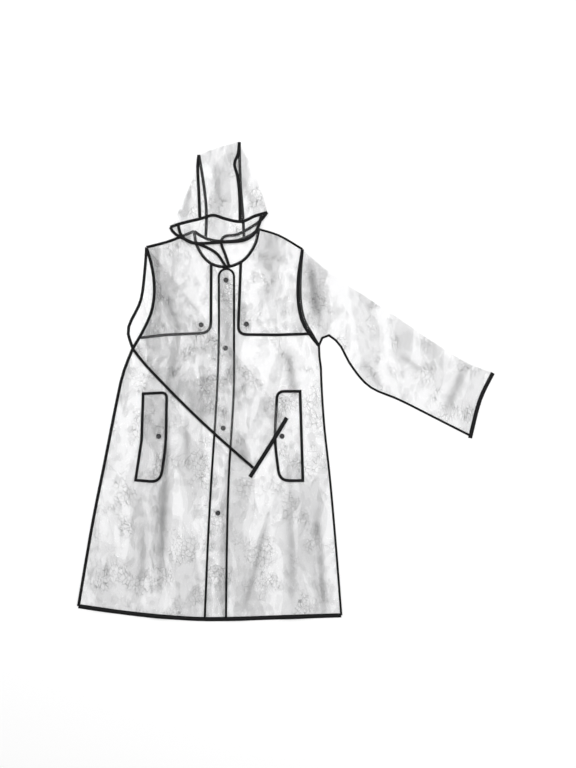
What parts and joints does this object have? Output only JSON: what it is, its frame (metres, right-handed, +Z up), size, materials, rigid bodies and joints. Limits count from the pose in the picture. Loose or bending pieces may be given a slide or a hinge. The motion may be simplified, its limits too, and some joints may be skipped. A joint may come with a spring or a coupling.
{
  "type": "hooded raincoat, laid flat",
  "caption": "Clear film hooded raincoat with black bound edges, storm flaps, slanted pocket flaps and a snapped placket, laid flat with one sleeve folded over the front.",
  "frame": {"origin": "middle of the coat's box at the height of the surface it lies on", "axes": "+X towards the wearer's left, +Y from hem to hood, +Z up out of the surface"},
  "size_m": [1.0442, 1.198, 0.0116],
  "materials": {
    "film": "clear glossy vinyl film, soft, with fine creases",
    "binding": "black folded binding tape with a slight sheen",
    "snap": "black moulded snap cap"
  },
  "bodies": {
    "root": {"back_panel": "film", "front_right": "film", "front_left": "film", "sleeve_right": "film", "sleeve_left": "film", "placket": "film", "storm_flap_right": "film", "storm_flap_left": "film", "pocket_flap_right": "film", "pocket_flap_left": "film", "hood_crown": "film", "hood_side_right": "film", "hood_side_left": "film", "hood_visor": "film", "armhole_binding_right": "binding", "armhole_binding_left": "binding", "neck_binding": "binding", "shoulder_seam_right": "binding", "shoulder_seam_left": "binding", "hem_binding": "binding", "side_seam_right": "binding", "side_seam_left": "binding", "cuff_binding_left": "binding", "underarm_seam_left": "binding", "cuff_binding_right": "binding", "underarm_seam_right": "binding", "placket_binding": "binding", "storm_binding_right": "binding", "storm_binding_left": "binding", "pocket_binding_right": "binding", "pocket_binding_left": "binding", "face_binding": "binding", "crown_seam_right": "binding", "crown_seam_left": "binding", "visor_binding": "binding", "snap_placket_1": "snap", "snap_placket_2": "snap", "snap_placket_3": "snap", "snap_placket_4": "snap", "snap_storm_right": "snap", "snap_storm_left": "snap", "snap_pocket_right": "snap", "snap_pocket_left": "snap"}
  },
  "joints": []
}
